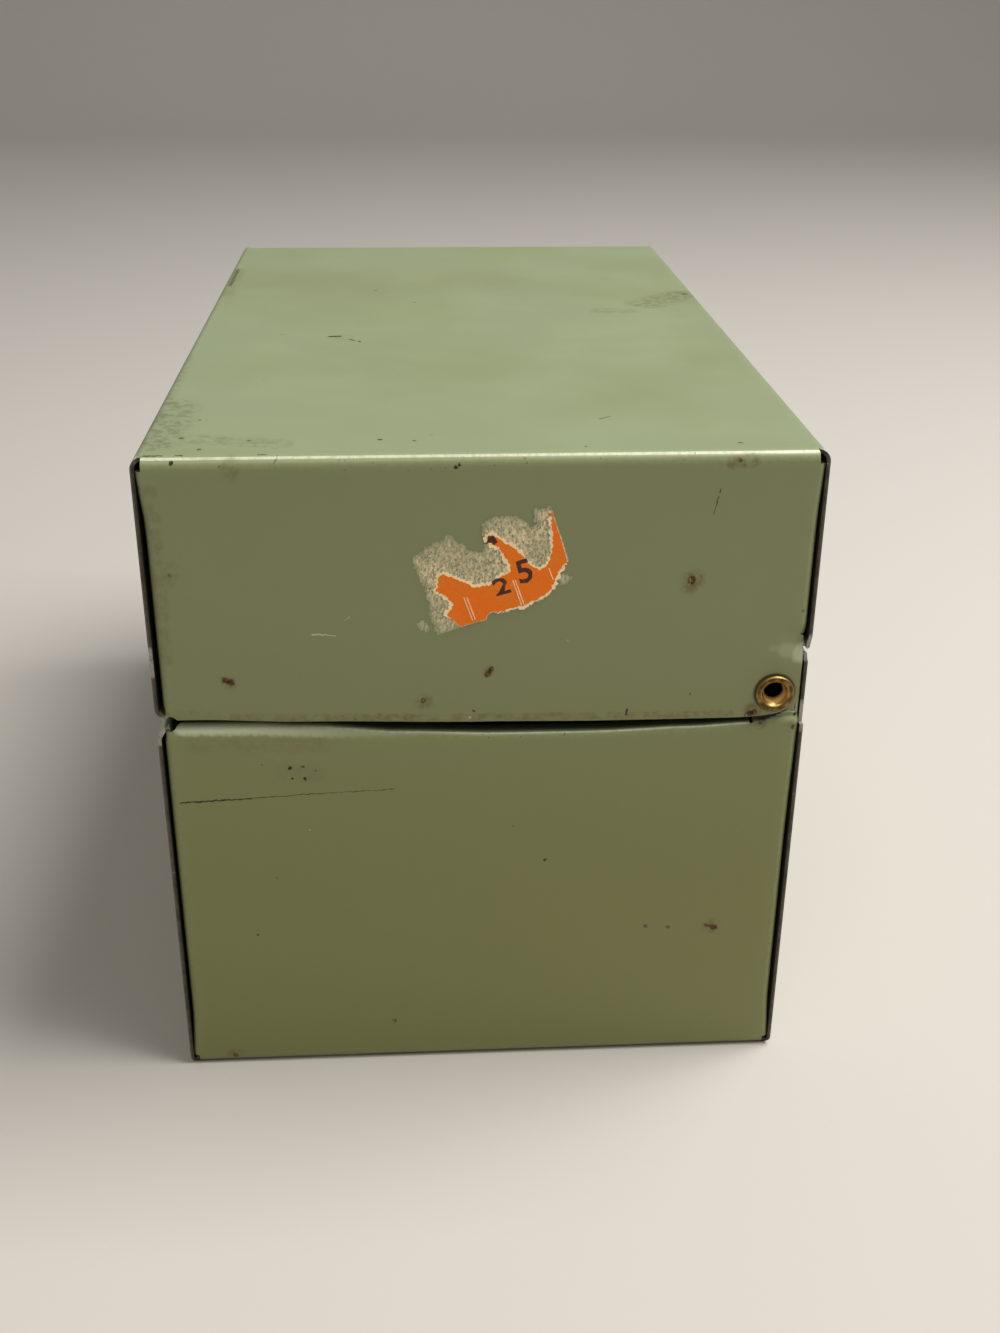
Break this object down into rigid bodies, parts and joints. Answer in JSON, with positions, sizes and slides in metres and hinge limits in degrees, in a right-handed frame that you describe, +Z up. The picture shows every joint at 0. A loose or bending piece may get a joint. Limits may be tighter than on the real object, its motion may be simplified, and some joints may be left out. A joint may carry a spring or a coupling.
{
  "type": "recipe box",
  "caption": "Folded sheet-steel card box: a deep lid hinged on brass eyelets at the back of each end, beaded hems, and the remnant of a paper price label.",
  "frame": {"origin": "centre of the footprint, on the underside of the body", "axes": "+Z up; -Y is the front, where the lid lifts; +Y the hinge side; +X the right end, which carries the label"},
  "size_m": [0.1384, 0.081, 0.087],
  "materials": {
    "green_enamel": "semi-gloss sage green enamel on steel, worn and chipped",
    "aged_brass": "rolled brass, dulled with age",
    "label_paper": "torn orange price-label paper with white fibres"
  },
  "bodies": {
    "body": {"body_shell": "green_enamel", "hinge_eyelet_right": "aged_brass", "hinge_eyelet_left": "aged_brass"},
    "lid": {"lid_shell": "green_enamel", "price_label": "label_paper"}
  },
  "joints": [
    {"name": "lid_hinge", "type": "hinge", "parent": "body", "child": "lid", "pos_m": [0, 0.0364, 0.0557], "axis": [-1, 0, 0], "range_deg": [0, 100]}
  ]
}
